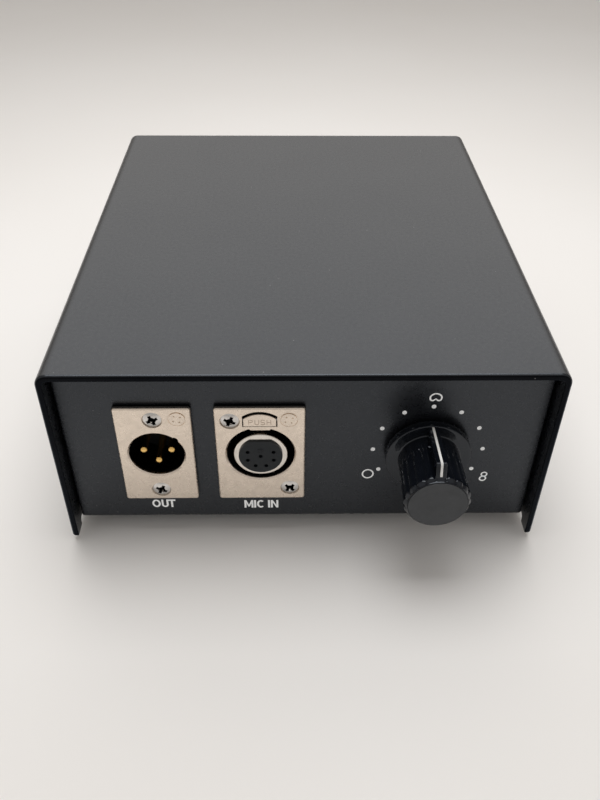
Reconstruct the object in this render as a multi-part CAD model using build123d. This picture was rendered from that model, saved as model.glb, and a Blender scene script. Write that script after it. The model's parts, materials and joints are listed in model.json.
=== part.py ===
from build123d import *
import math
import os

# Desktop power supply for a valve microphone with a nine-position pattern knob. Millimetres.
# +X is right, -Y is the front, +Z is up; z = 0 is the plane the feet stand on.

# ---- driving dimensions -----------------------------------------------------------------
COVER_WIDTH = 144.2
COVER_DEPTH = 171.3
COVER_HEIGHT = 62.9
COVER_SHEET = 2.0
COVER_BEND = 3.5            # outside radius of the folded top edges
COVER_CORNER = 0.5          # rounding of the side panels' free corners
EAR_DEPTH = 5.0             # the sides reach lowest in this much at each open end
EAR_ROUND = 1.4
COVER_EDGE = 0.9            # outside rounding of the sheet's cut edges
COVER_INNER_EDGE = 0.3
SKIRT_GAP = 2.0             # the cover's side edges hang this far above the table
TRAY_SHEET = 1.5
TRAY_BEND = 1.9
TRAY_UP = 2.7               # the tray's underside above the cover's side edges
PANEL_RECESS = 5.1          # the panels sit this far inside the cover's open ends
COVER_PLAY = 0.5            # air between the cover and the tray
KNOB_PROUD = 17.2           # the knob's face in front of the cover's edge

# places that follow from them
FRONT_Y = -(COVER_DEPTH - KNOB_PROUD) / 2
BACK_Y = FRONT_Y + COVER_DEPTH
PANEL_Y = FRONT_Y + PANEL_RECESS                # front face of the front panel
PANEL_BACK = PANEL_Y + TRAY_SHEET
REAR_Y = BACK_Y - PANEL_RECESS                  # outer face of the rear panel
REAR_INNER = REAR_Y - TRAY_SHEET
COVER_TOP = SKIRT_GAP + COVER_HEIGHT
TRAY_Z = SKIRT_GAP + TRAY_UP
FLOOR_Z = TRAY_Z + TRAY_SHEET                   # the tray's inside floor
TRAY_TOP = COVER_TOP - COVER_SHEET - COVER_PLAY
TRAY_HALF = COVER_WIDTH / 2 - COVER_SHEET - COVER_PLAY

# sockets
SOCKET_Z = SKIRT_GAP + 31.0                     # middle of both flanges
BORE_Z = SOCKET_Z + 0.5                         # axis of both connectors
FLANGE_HEIGHT = 36.0
FLANGE_T = 1.9
FLANGE_CORNER = 0.9
FLANGE_EDGE = 0.7           # rounding of a flange's front edges
FLANGE_Y = PANEL_Y - FLANGE_T
OUT_X = -42.9
OUT_WIDTH = 22.1
OUT_CAVITY_R = 8.12
OUT_BODY_R = 9.9
OUT_DEPTH = 24.0
OUT_FLOOR = 13.0            # depth of the cavity behind the flange's face
PIN_R = 1.2
PIN_CIRCLE_R = 4.12
PIN_TIP = 1.7               # the tips stop this far inside the cavity
PIN_TIP_ROUND = 1.0
PIN_SHANK_R = 1.0           # the thinner part held in the insert
PIN_STEP = 0.3              # the full diameter ends this far before the cavity's floor
OUT_SCREW_DZ = 13.75
MIC_X = -12.55
MIC_WIDTH = 26.0
MIC_HOLE_R = 9.95
BOSS_R = 2.3                # closed screw place beside each socket
BOSS_PROUD = 0.15
GROOVE_R = 2.55
GROOVE_DEPTH = 0.25
DIMPLE_R = 0.24
DIMPLE_CIRCLE_R = 1.25
DIMPLE_DEPTH = 0.2
KEY_NOTCH_R = 1.35          # keyway at the rim of the OUT socket's cavity
SCREW_DOME = 0.65           # rise of the panel screws' rounded heads
CHORD = [(-3.4, 10.4), (-2.8, 9.45), (2.8, 9.45), (3.4, 10.4)]   # bar across the mouth's top
RIM_BEVEL = 0.4             # bevel round the mouth of each socket
MIC_BODY_R = 11.6
MIC_DEPTH = 26.0
MIC_FLOOR = 15.0
BARREL_R = 7.85
BARREL_FRONT = FLANGE_Y - 0.2
BARREL_SEAT_R = 7.5         # the barrel's thinner end, held in the closed back
BARREL_STEP = 0.4           # the full diameter ends this far before the annular floor
INSERT_R = 6.4
INSERT_FRONT = FLANGE_Y - 0.8
INSERT_FLAT = 5.6           # the insert's flat above its axis
CONTACT_R = 0.85
CONTACT_CIRCLE_R = 4.1
MIC_SCREW_DX = 8.5
MIC_SCREW_DZ = 13.25
SCREW_HEAD_R = 2.8
SCREW_HEAD_H = 1.5
SCREW_TURNS = (28.0, 65.0, 24.0, 42.0)
SCREW_SUNK = 0.35           # the heads sit this far inside their countersinks
M3_R = 1.45
M3_CLEAR = 1.65

# latch of the microphone socket
LATCH_HALF = 4.7
BRIDGE_T = 0.9              # the flange between the pad and the socket's mouth
LATCH_LOW = 10.85           # the pad's lower edge above the socket's axis
LATCH_ARC_R = 7.3
LATCH_ARC_UP = 8.0          # centre of the pad's round top above the socket's axis
LATCH_SLOT = 0.95           # slot between the pad's top and the flange
LATCH_SIDE = 0.3
PIVOT_IN = 2.7              # pivot pin behind the flange's face
PIVOT_UP = 11.3             # pivot pin above the socket's axis
PIVOT_R = 0.7
RUN = 0.05                  # radial clearance of a part that turns on a pin

# pattern knob and its switch
KNOB_X = 36.4
KNOB_Z = SKIRT_GAP + 31.3
RIM_R = 12.5
RIM_BACK = PANEL_Y - 1.3
RIM_T = 2.6
BODY_BACK_R = 8.9
BODY_R = 9.35
LIP_R = 8.8
FACE_R = 8.2
KNOB_FACE = FRONT_Y - KNOB_PROUD
FLUTES = 20
FLUTE_R = 0.75
FLUTE_RUNOUT = 4.2          # plain length of the body between the flutes and the skirt
FIN_HALF = 1.45
FIN_BACK = 12.2             # the fin's crest where it meets the skirt
FIN_TOP = 13.2              # the fin's crest at its front end
LINE_HALF = 0.33            # half the width of the white line inlaid in the fin
FIN_FRONT = FRONT_Y - 14.8
SHAFT_R = 3.0
BUSHING_R = 4.7

# rear panel
INLET_X = -36.0
INLET_Z = SKIRT_GAP + 31.5
ROCKER_X = 12.0
SELECTOR_X = 46.0


# ---- helpers ----------------------------------------------------------------------------
def block(x0, x1, y0, y1, z0, z1):
    """A box between two corners."""
    middle = Pos((x0 + x1) / 2, (y0 + y1) / 2, (z0 + z1) / 2)
    return middle * Box(x1 - x0, y1 - y0, z1 - z0)


def rod_y(radius, y0, y1, x, z):
    """A cylinder along Y."""
    return Pos(x, (y0 + y1) / 2, z) * Rot(90, 0, 0) * Cylinder(radius, y1 - y0)


def rod_x(radius, x0, x1, y, z):
    """A cylinder along X."""
    return Pos((x0 + x1) / 2, y, z) * Rot(0, 90, 0) * Cylinder(radius, x1 - x0)


def rod_z(radius, z0, z1, x, y):
    """A cylinder along Z."""
    return Pos(x, y, (z0 + z1) / 2) * Cylinder(radius, z1 - z0)


def front_plane(x, y, z):
    """A drawing plane seen from the front, with its own x along X and its own y along Z."""
    return Plane((x, y, z), x_dir=(1, 0, 0), z_dir=(0, -1, 0))


def slab(sketch, y0, y1, x=0.0, z=0.0):
    """A sketch seen from the front, made solid from y0 back to y1."""
    return extrude(front_plane(x, y0, z) * sketch, amount=-(y1 - y0))


def cone_y(r0, r1, y0, y1, x, z):
    """A cone along Y with radius r0 at y0 and r1 at y1."""
    return Pos(x, (y0 + y1) / 2, z) * Rot(-90, 0, 0) * Cone(r0, r1, y1 - y0)


def hexagon_y(flats, y0, y1, x, z):
    """A hexagonal prism along Y with two flats upright."""
    return slab(RegularPolygon(flats / math.sqrt(3), 6, rotation=30), y0, y1, x, z)


def save(name, *shapes):
    """Writes one sub-part, as a group where it has several solids."""
    solids = [solid for shape in shapes for solid in shape.solids()]
    export_step(solids[0] if len(solids) == 1 else Compound(solids), f"parts/{name}.step")


def cross_recess(radius, depth, y, x, z, turn=0.0):
    """The cross slot of a screw head whose face is at y and which points back."""
    half = radius * 0.17
    reach = radius * 0.62
    slot = block(-half, half, -1, depth, -reach, reach)
    slot += block(-reach, reach, -1, depth, -half, half)
    pit = cone_y(radius * 0.42, 0.3, 0, depth, 0, 0)
    return Pos(x, y, z) * Rot(0, turn, 0) * (slot + pit)


def panel_screw(x, z, y, length, turn=0.0):
    """Raised countersunk cross-head screw, the rim of its head at y, pointing back."""
    ball_r = (SCREW_HEAD_R ** 2 + SCREW_DOME ** 2) / (2 * SCREW_DOME)
    dome = Pos(x, y - SCREW_DOME + ball_r, z) * Sphere(ball_r)
    head = dome & rod_y(SCREW_HEAD_R, y - 1, y + 0.01, x, z)
    head += cone_y(SCREW_HEAD_R, M3_R, y, y + SCREW_HEAD_H, x, z)
    shank = rod_y(M3_R, y + SCREW_HEAD_H - 0.2, y + length, x, z)
    recess = cross_recess(SCREW_HEAD_R, 1.1 + SCREW_DOME, y - SCREW_DOME, x, z, turn)
    return head + shank - recess


def panel_nut(x, z, y):
    """Hexagon nut from y back."""
    return hexagon_y(5.5, y, y + 2.4, x, z) - rod_y(M3_R + 0.03, y - 1, y + 4, x, z)


def sunk_hole(x, z, y):
    """The space of a sunk countersunk screw in a flange whose face is at y."""
    seat = y + SCREW_SUNK
    cone = cone_y(SCREW_HEAD_R + 0.05, M3_CLEAR, seat, seat + SCREW_HEAD_H, x, z)
    mouth = rod_y(SCREW_HEAD_R + 0.05, y - 0.1, seat, x, z)
    return cone + mouth + rod_y(M3_CLEAR, y, y + 4, x, z)


def rounded_flange(width, x):
    """A socket's flange plate before its holes."""
    plate = slab(RectangleRounded(width, FLANGE_HEIGHT, FLANGE_CORNER), FLANGE_Y, PANEL_Y, x, SOCKET_Z)
    return fillet(plate.faces().sort_by(Axis.Y)[0].edges(), FLANGE_EDGE)


# ---- case -------------------------------------------------------------------------------
FOOT_X = 54.0
FOOT_Y = (FRONT_Y + 24.0, BACK_Y - 24.0)
FOOT_PLACES = [(sx * FOOT_X, y) for sx in (-1, 1) for y in FOOT_Y]
COVER_SCREW_Z = FLOOR_Z + 7.0
COVER_SCREW_Y = (FRONT_Y + 20.0, (FRONT_Y + BACK_Y) / 2, BACK_Y - 20.0)
COVER_SCREWS = [(sx, y) for sx in (-1, 1) for y in COVER_SCREW_Y]
BOLT_XY = (-31.0, 18.0)     # the transformer's centre bolt
BOARD_X = (8.0, 65.0)
BOARD_Y = (-38.0, 62.0)
BOARD_Z = FLOOR_Z + 8.0
BOARD_T = 1.6
STANDOFF_IN = 4.0
STANDOFFS = [
    (x, y)
    for x in (BOARD_X[0] + STANDOFF_IN, BOARD_X[1] - STANDOFF_IN)
    for y in (BOARD_Y[0] + STANDOFF_IN, BOARD_Y[1] - STANDOFF_IN)
]
STUD_XY = (-2.0, 72.0)
OUT_SCREWS = [(OUT_X, SOCKET_Z + s * OUT_SCREW_DZ) for s in (-1, 1)]
MIC_SCREWS = [(MIC_X + s * MIC_SCREW_DX, SOCKET_Z - s * MIC_SCREW_DZ) for s in (-1, 1)]
INLET_SCREWS = [(INLET_X + s * 20.0, INLET_Z) for s in (-1, 1)]
SELECTOR_SCREWS = [(SELECTOR_X + s * 14.0, INLET_Z) for s in (-1, 1)]


def side_screw(side, y, grow=0.0):
    """Countersunk screw through one side of the cover, or its hole where grow is above 0."""
    face = COVER_WIDTH / 2
    head = Cone(M3_R + grow, SCREW_HEAD_R + grow / 2, SCREW_HEAD_H)
    head = Pos(side * (face - SCREW_HEAD_H / 2), y, COVER_SCREW_Z) * Rot(0, side * 90, 0) * head
    ends = sorted((side * (face - SCREW_HEAD_H + 0.2), side * (face - 5.6)))
    return head + rod_x(M3_R + grow, ends[0], ends[1], y, COVER_SCREW_Z)


def side_recess(side, y):
    """Cross slot in a cover screw's head."""
    ends = sorted((side * (COVER_WIDTH / 2 - 1.1), side * (COVER_WIDTH / 2 + 1)))
    z = COVER_SCREW_Z
    return block(ends[0], ends[1], y - 0.42, y + 0.42, z - 1.7, z + 1.7) + block(
        ends[0], ends[1], y - 1.7, y + 1.7, z - 0.42, z + 0.42
    )


def inner_end_edges(cover, half):
    """The edges round the inside of the cover's two open ends."""
    found = []
    for face in (cover.faces().sort_by(Axis.Y)[0], cover.faces().sort_by(Axis.Y)[-1]):
        for edge in face.edges():
            middle = edge.center()
            side_in = half - COVER_SHEET - abs(middle.X)
            top_in = COVER_TOP - COVER_SHEET - middle.Z
            on_side = abs(side_in) < 0.01 and edge.length > 20
            on_top = abs(top_in) < 0.01 and edge.length > 20
            on_arc = 0 < side_in < 1 and 0 < top_in < 1
            if on_side or on_top or on_arc:
                found.append(edge)
    return found


def make_cover():
    half = COVER_WIDTH / 2
    outer = block(-half, half, FRONT_Y, BACK_Y, SKIRT_GAP, COVER_TOP)
    outer = fillet(outer.edges().filter_by(Axis.Y).sort_by(Axis.Z)[-2:], COVER_BEND)
    outer = fillet(outer.edges().filter_by(Axis.X).group_by(Axis.Z)[0], COVER_CORNER)
    ends = outer.faces().sort_by(Axis.Y)
    outer = fillet(ends[0].edges() + ends[-1].edges(), COVER_EDGE)
    inner = block(
        COVER_SHEET - half, half - COVER_SHEET, FRONT_Y - 1, BACK_Y + 1, -5, COVER_TOP - COVER_SHEET
    )
    inner = fillet(inner.edges().filter_by(Axis.Y).sort_by(Axis.Z)[-2:], COVER_BEND - COVER_SHEET)
    cover = outer - inner
    cover = fillet(inner_end_edges(cover, half), COVER_INNER_EDGE)
    raised = block(-80, 80, FRONT_Y + EAR_DEPTH, BACK_Y - EAR_DEPTH, -5, TRAY_Z)
    cover -= fillet(raised.edges().filter_by(Axis.X).group_by(Axis.Z)[-1], EAR_ROUND)
    for side, y in COVER_SCREWS:
        cover -= side_screw(side, y, 0.1)
    save("top_cover", cover)
    save("cover_screws", *[side_screw(s, y) - side_recess(s, y) for s, y in COVER_SCREWS])


def make_tray():
    depth = REAR_Y - PANEL_Y
    height = TRAY_TOP - TRAY_Z
    middle = Plane.YZ.offset(-TRAY_HALF) * Pos((PANEL_Y + REAR_Y) / 2, (TRAY_Z + TRAY_TOP) / 2)
    outer = RectangleRounded(depth, height, TRAY_BEND)
    inner = RectangleRounded(
        depth - 2 * TRAY_SHEET, height - 2 * TRAY_SHEET, TRAY_BEND - TRAY_SHEET
    )
    tray = extrude(middle * (outer - inner), amount=2 * TRAY_HALF)
    upright = tray.edges().filter_by(Axis.Z)
    upright = upright.filter_by_position(Axis.Y, PANEL_Y - 0.01, PANEL_Y + 0.01)
    tray = fillet(upright, TRAY_SHEET / 2)
    lip = 9.0
    tray -= block(-80, 80, PANEL_Y + lip, REAR_Y - lip, TRAY_TOP - 5, TRAY_TOP + 5)
    for side in (-1, 1):
        ends = sorted((side * TRAY_HALF, side * (TRAY_HALF - TRAY_SHEET)))
        tray += block(ends[0], ends[1], PANEL_Y + 6, REAR_Y - 6, TRAY_Z + 0.5, FLOOR_Z + 13)
    for side, y in COVER_SCREWS:
        ends = sorted((side * (TRAY_HALF + 1), side * (TRAY_HALF - 3)))
        tray -= rod_x(M3_R + 0.02, ends[0], ends[1], y, COVER_SCREW_Z)
    for x, y in FOOT_PLACES + STANDOFFS + [STUD_XY]:
        tray -= rod_z(M3_CLEAR, TRAY_Z - 1, FLOOR_Z + 1, x, y)
    tray -= rod_z(3.3, TRAY_Z - 1, FLOOR_Z + 1, *BOLT_XY)
    # front panel cut-outs
    tray -= rod_y(OUT_BODY_R + 0.3, PANEL_Y - 1, PANEL_BACK + 1, OUT_X, BORE_Z)
    tray -= rod_y(MIC_BODY_R + 0.2, PANEL_Y - 1, PANEL_BACK + 1, MIC_X, BORE_Z)
    tray -= block(MIC_X - 6.3, MIC_X + 6.3, PANEL_Y - 1, PANEL_BACK + 1, BORE_Z, BORE_Z + 17.0)
    tray -= rod_y(BUSHING_R + 0.1, PANEL_Y - 1, PANEL_BACK + 1, KNOB_X, KNOB_Z)
    for x, z in OUT_SCREWS + MIC_SCREWS:
        tray -= rod_y(M3_CLEAR, PANEL_Y - 1, PANEL_BACK + 1, x, z)
    # rear panel cut-outs
    y0, y1 = REAR_INNER - 1, REAR_Y + 1
    tray -= block(INLET_X - 14.0, INLET_X + 14.0, y0, y1, INLET_Z - 15.9, INLET_Z + 15.9)
    tray -= block(ROCKER_X - 6.6, ROCKER_X + 6.6, y0, y1, INLET_Z - 9.6, INLET_Z + 9.6)
    tray -= block(SELECTOR_X - 10.2, SELECTOR_X + 10.2, y0, y1, INLET_Z - 5.2, INLET_Z + 5.2)
    for x, z in INLET_SCREWS + SELECTOR_SCREWS:
        tray -= rod_y(M3_CLEAR, y0, y1, x, z)
    save("chassis_tray", tray)


def make_feet():
    """Makes the feet and their screws, and gives back the nuts inside."""
    feet, screws, nuts = [], [], []
    for x, y in FOOT_PLACES:
        foot = Pos(x, y, TRAY_Z / 2) * Cone(6.2, 7.2, TRAY_Z)
        foot = fillet(foot.edges().sort_by(Axis.Z)[0], 0.8)
        foot -= rod_z(3.4, -1, 2.4, x, y) + rod_z(M3_CLEAR, 1, TRAY_Z + 1, x, y)
        feet.append(foot)
        head = rod_z(2.8, 0.6, 2.4, x, y) - rod_z(0.9, 0, 1.5, x, y)
        screws.append(head + rod_z(M3_R, 2.2, FLOOR_Z + 3.4, x, y))
        nut = Pos(x, y, FLOOR_Z) * extrude(RegularPolygon(5.5 / math.sqrt(3), 6), amount=2.4)
        nuts.append(nut - rod_z(M3_R + 0.03, FLOOR_Z - 1, FLOOR_Z + 5, x, y))
    save("rubber_feet", *feet)
    save("foot_screws", *screws)
    return nuts


# ---- OUT socket: three male pins ---------------------------------------------------------
PIN_SPOTS = [(-PIN_CIRCLE_R, 0.0), (PIN_CIRCLE_R, 0.0), (0.0, -PIN_CIRCLE_R)]
OUT_BACK = FLANGE_Y + OUT_DEPTH


def rim_bevel(radius, x):
    """The cone that bevels the mouth of a round hole in a flange."""
    out = RIM_BEVEL + 0.1
    return cone_y(radius + out, radius, FLANGE_Y - 0.1, FLANGE_Y + RIM_BEVEL, x, BORE_Z)


def blank_boss(shell, x, z):
    """Adds a closed, unused screw place: a low round boss in a groove, with four dimples."""
    ring = rod_y(GROOVE_R, FLANGE_Y - 1, FLANGE_Y + GROOVE_DEPTH, x, z)
    ring -= rod_y(BOSS_R, FLANGE_Y - 2, FLANGE_Y + 1, x, z)
    shell = shell - ring + rod_y(BOSS_R, FLANGE_Y - BOSS_PROUD, FLANGE_Y + 0.3, x, z)
    for i in range(4):
        angle = math.radians(35.0 + 90.0 * i)
        dx, dz = DIMPLE_CIRCLE_R * math.cos(angle), DIMPLE_CIRCLE_R * math.sin(angle)
        shell -= rod_y(DIMPLE_R, FLANGE_Y - 1, FLANGE_Y + DIMPLE_DEPTH, x + dx, z + dz)
    return shell


def make_out_socket():
    flange = rounded_flange(OUT_WIDTH, OUT_X)
    for x, z in OUT_SCREWS:
        flange -= sunk_hole(x, z, FLANGE_Y)
    shell = flange + rod_y(OUT_BODY_R, FLANGE_Y + 0.5, OUT_BACK, OUT_X, BORE_Z)
    shell -= rod_y(OUT_CAVITY_R, FLANGE_Y - 1, OUT_BACK + 1, OUT_X, BORE_Z)
    shell -= rim_bevel(OUT_CAVITY_R, OUT_X)
    reach = (OUT_CAVITY_R - 0.5) / math.sqrt(2)
    shell -= rod_y(KEY_NOTCH_R, FLANGE_Y - 1, FLANGE_Y + OUT_FLOOR, OUT_X + reach, BORE_Z + reach)
    save("out_socket_shell", blank_boss(shell, OUT_X + 7.0, SOCKET_Z + 14.2))
    floor = FLANGE_Y + OUT_FLOOR
    insert = rod_y(OUT_CAVITY_R, floor, OUT_BACK - 2, OUT_X, BORE_Z)
    pins = []
    for dx, dz in PIN_SPOTS:
        x, z = OUT_X + dx, BORE_Z + dz
        insert -= rod_y(PIN_SHANK_R, floor - 1, OUT_BACK, x, z)
        pin = rod_y(PIN_R, FLANGE_Y + PIN_TIP, floor - PIN_STEP, x, z)
        pin = fillet(pin.edges().filter_by(GeomType.CIRCLE).sort_by(Axis.Y)[0], PIN_TIP_ROUND)
        pin += rod_y(PIN_SHANK_R, floor - PIN_STEP - 0.1, OUT_BACK + 3, x, z)
        pin -= rod_y(0.6, OUT_BACK, OUT_BACK + 4, x, z)
        pins.append(pin)
    save("out_socket_insert", insert)
    save("out_socket_pins", *pins)


# ---- MIC IN socket: seven female contacts and a push latch --------------------------------
CONTACT_SPOTS = [(0.0, 0.0)] + [
    (CONTACT_CIRCLE_R * math.cos(math.radians(a)), CONTACT_CIRCLE_R * math.sin(math.radians(a)))
    for a in (22.5, -22.5, -67.5, -112.5, -157.5, 157.5)
]
MIC_BACK = FLANGE_Y + MIC_DEPTH
PIVOT_Y = FLANGE_Y + PIVOT_IN
PIVOT_Z = BORE_Z + PIVOT_UP
POCKET_BACK = FLANGE_Y + 9.0


def d_outline(radius, flat):
    """A round outline with a flat across its top."""
    return Circle(radius) - Pos(0, flat + radius) * Rectangle(3 * radius, 2 * radius)


def latch_outline(grow_side, grow_top, low):
    """The push pad's outline about the socket's axis, or the opening it sits in."""
    half = LATCH_HALF + grow_side
    top = Pos(0, LATCH_ARC_UP) * Circle(LATCH_ARC_R + grow_top)
    return top & Pos(0, low + 10.0) * Rectangle(2 * half, 20.0)


def make_mic_socket():
    flange = rounded_flange(MIC_WIDTH, MIC_X)
    for x, z in MIC_SCREWS:
        flange -= sunk_hole(x, z, FLANGE_Y)
    flange = blank_boss(flange, MIC_X + 8.3, SOCKET_Z + 13.8)
    shell = flange + rod_y(MIC_BODY_R, FLANGE_Y + 0.5, MIC_BACK, MIC_X, BORE_Z)
    house = block(MIC_X - 5.6, MIC_X + 5.6, FLANGE_Y + 0.5, POCKET_BACK + 1.0, BORE_Z, BORE_Z + 16.6)
    shell += house
    shell -= rod_y(MIC_HOLE_R, FLANGE_Y - 1, FLANGE_Y + MIC_FLOOR, MIC_X, BORE_Z)
    shell -= rim_bevel(MIC_HOLE_R, MIC_X)
    opening = latch_outline(LATCH_SIDE, LATCH_SLOT, LATCH_LOW - 0.15)
    shell -= slab(opening, FLANGE_Y - 1, FLANGE_Y + 1.6, MIC_X, BORE_Z)
    chord = make_face(Polyline(*CHORD, CHORD[0]))
    shell += slab(chord, FLANGE_Y, FLANGE_Y + BRIDGE_T, MIC_X, BORE_Z)
    shell -= block(
        MIC_X - 5.0, MIC_X + 5.0, FLANGE_Y + 1.6, POCKET_BACK, BORE_Z + 5.0, BORE_Z + 15.8
    )
    shell -= block(
        MIC_X - 5.0, MIC_X + 5.0, FLANGE_Y + BRIDGE_T, FLANGE_Y + 1.7, BORE_Z + 8.8, BORE_Z + 11.0
    )
    shell -= rod_x(PIVOT_R, MIC_X - 7, MIC_X + 7, PIVOT_Y, PIVOT_Z)
    # the barrel's seat and the insert pass through the closed back
    shell -= rod_y(BARREL_SEAT_R, FLANGE_Y + MIC_FLOOR - 1, MIC_BACK + 1, MIC_X, BORE_Z)
    save("mic_socket_shell", shell)

    barrel = rod_y(BARREL_R, BARREL_FRONT, FLANGE_Y + MIC_FLOOR - BARREL_STEP, MIC_X, BORE_Z)
    rim = barrel.edges().filter_by(GeomType.CIRCLE).sort_by(Axis.Y)[0]
    barrel = fillet(rim, 0.35)
    barrel += rod_y(BARREL_SEAT_R, FLANGE_Y + MIC_FLOOR - 1.5, MIC_BACK, MIC_X, BORE_Z)
    d_shape = d_outline(INSERT_R, INSERT_FLAT)
    barrel -= slab(d_shape, FLANGE_Y - 2, MIC_BACK + 1, MIC_X, BORE_Z)
    save("mic_socket_barrel", barrel)
    insert = slab(d_shape, INSERT_FRONT, MIC_BACK - 1, MIC_X, BORE_Z)
    contacts = []
    for dx, dz in CONTACT_SPOTS:
        x, z = MIC_X + dx, BORE_Z + dz
        insert -= rod_y(0.6, FLANGE_Y - 2, FLANGE_Y + 1.6, x, z)
        insert -= rod_y(CONTACT_R, FLANGE_Y + 1.5, MIC_BACK, x, z)
        contact = rod_y(CONTACT_R, FLANGE_Y + 1.5, MIC_BACK + 3, x, z)
        contact -= rod_y(0.55, FLANGE_Y, FLANGE_Y + 14, x, z)
        contact -= rod_y(0.55, MIC_BACK + 0.5, MIC_BACK + 4, x, z)
        contacts.append(contact)
    save("mic_socket_insert", insert)
    save("mic_socket_contacts", *contacts)


def make_socket_fasteners():
    """Makes the screws of both sockets, and gives back their nuts."""
    places = OUT_SCREWS + MIC_SCREWS
    seat = FLANGE_Y + SCREW_SUNK
    turned = zip(places, SCREW_TURNS)
    save("socket_screws", *[panel_screw(x, z, seat, 9.0, turn) for (x, z), turn in turned])
    return [panel_nut(x, z, PANEL_BACK) for x, z in places]


def make_latch():
    pad = latch_outline(0.0, 0.0, LATCH_LOW)
    latch = slab(pad, FLANGE_Y - 0.1, FLANGE_Y + 1.3, MIC_X, BORE_Z)
    latch = fillet(latch.faces().sort_by(Axis.Y)[0].edges(), 0.2)
    latch += block(
        MIC_X - 4.2, MIC_X + 4.2, FLANGE_Y + 1.0, PIVOT_Y + 1.2, PIVOT_Z - 0.3, PIVOT_Z + 1.2
    )
    latch += rod_x(1.2, MIC_X - 4.2, MIC_X + 4.2, PIVOT_Y, PIVOT_Z)
    tongue_y = FLANGE_Y + 1.6
    latch += block(MIC_X - 2.7, MIC_X + 2.7, tongue_y, tongue_y + 1.0, BORE_Z + 8.9, PIVOT_Z)
    latch -= rod_x(PIVOT_R + RUN, MIC_X - 6, MIC_X + 6, PIVOT_Y, PIVOT_Z)
    save("mic_latch", latch)
    save("mic_latch_pin", rod_x(PIVOT_R, MIC_X - 5.6, MIC_X + 5.6, PIVOT_Y, PIVOT_Z))
    # leaf spring from the pocket's roof down to the back of the pad
    leaf_z = BORE_Z + 14.4
    roof = block(MIC_X - 1.5, MIC_X + 1.5, FLANGE_Y + 3.2, POCKET_BACK, BORE_Z + 15.5, BORE_Z + 15.8)
    leg = block(MIC_X - 1.5, MIC_X + 1.5, FLANGE_Y + 3.2, FLANGE_Y + 3.5, leaf_z, BORE_Z + 15.6)
    foot = block(MIC_X - 1.5, MIC_X + 1.5, FLANGE_Y + 1.35, FLANGE_Y + 3.5, leaf_z, leaf_z + 0.3)
    save("mic_latch_spring", roof + leg + foot)


# ---- pattern knob and rotary switch -------------------------------------------------------
BUSHING_FRONT = PANEL_Y - 4.6
HUB_BACK = PANEL_Y - 5.2                        # bottom of the hollow under the knob
HOUSING_BACK = PANEL_BACK + 17.0


def fin_solid(points, half):
    """An upright plate of the knob from an outline of (Y, radius) points."""
    plane = Plane((KNOB_X - half, 0, KNOB_Z), x_dir=(0, 1, 0), z_dir=(1, 0, 0))
    return extrude(plane * make_face(Polyline(*points, points[0])), amount=2 * half)


def make_knob():
    rim_front = RIM_BACK - RIM_T
    lip_y = KNOB_FACE + 0.2
    seat_y = KNOB_FACE + 0.7
    profile = Polyline(
        (0, RIM_BACK), (RIM_R, RIM_BACK), (RIM_R, rim_front + 0.3), (RIM_R - 0.1, rim_front + 0.1),
        (RIM_R - 0.35, rim_front), (BODY_BACK_R + 0.4, rim_front), (BODY_BACK_R, rim_front - 0.5),
        (BODY_R, KNOB_FACE + 1.3), (LIP_R, lip_y), (FACE_R + 0.1, lip_y), (FACE_R + 0.1, seat_y),
        (0, seat_y), (0, RIM_BACK),
    )
    # the profile's second coordinate is Y, its first the radius along X
    level = Plane((KNOB_X, 0, KNOB_Z), x_dir=(1, 0, 0), z_dir=(0, 0, 1))
    turned = revolve(level * make_face(profile), Axis((KNOB_X, 0, KNOB_Z), (0, 1, 0)))
    for i in range(FLUTES):
        angle = math.radians(360.0 / FLUTES * (i + 0.5))
        x = KNOB_X + (BODY_R + 0.35) * math.sin(angle)
        z = KNOB_Z + (BODY_R + 0.35) * math.cos(angle)
        turned -= rod_y(FLUTE_R, KNOB_FACE - 1, rim_front - FLUTE_RUNOUT, x, z)
    fin_low = FACE_R + 0.2
    crest = [
        (rim_front, FIN_BACK), (FIN_FRONT + 0.4, FIN_TOP), (FIN_FRONT, FIN_TOP - 0.4),
        (KNOB_FACE + 1.2, BODY_R - 0.1),
    ]
    knob = turned + fin_solid(crest + [(KNOB_FACE + 1.2, fin_low), (rim_front, fin_low)], FIN_HALF)
    inlay = fin_solid(crest + [(KNOB_FACE + 1.6, BODY_R - 0.1), (FIN_FRONT + 0.3, FIN_TOP - 0.8),
                               (rim_front, FIN_BACK - 0.45)], LINE_HALF)
    knob -= inlay
    save("knob_pointer_line", inlay)
    knob -= rod_y(9.0, HUB_BACK, RIM_BACK + 1, KNOB_X, KNOB_Z)
    knob -= rod_y(4.8, HUB_BACK - 8.0, HUB_BACK + 1, KNOB_X, KNOB_Z)
    screw_y = HUB_BACK - 4.0
    hole = rod_z(1.5, KNOB_Z - BODY_R - 1, KNOB_Z - 2.0, KNOB_X, screw_y)
    save("pattern_knob", knob - hole)
    save("knob_cap", rod_y(FACE_R, KNOB_FACE, seat_y, KNOB_X, KNOB_Z))
    bush = rod_y(4.8, HUB_BACK - 8.0, HUB_BACK, KNOB_X, KNOB_Z)
    bush -= rod_y(SHAFT_R, HUB_BACK - 9.0, HUB_BACK + 1, KNOB_X, KNOB_Z)
    save("knob_bush", bush - hole)
    grub = rod_z(1.45, KNOB_Z - 8.4, KNOB_Z - SHAFT_R - 0.05, KNOB_X, screw_y)
    grub -= rod_z(0.75, KNOB_Z - 9, KNOB_Z - 6.9, KNOB_X, screw_y)
    save("knob_set_screw", grub)


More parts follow.
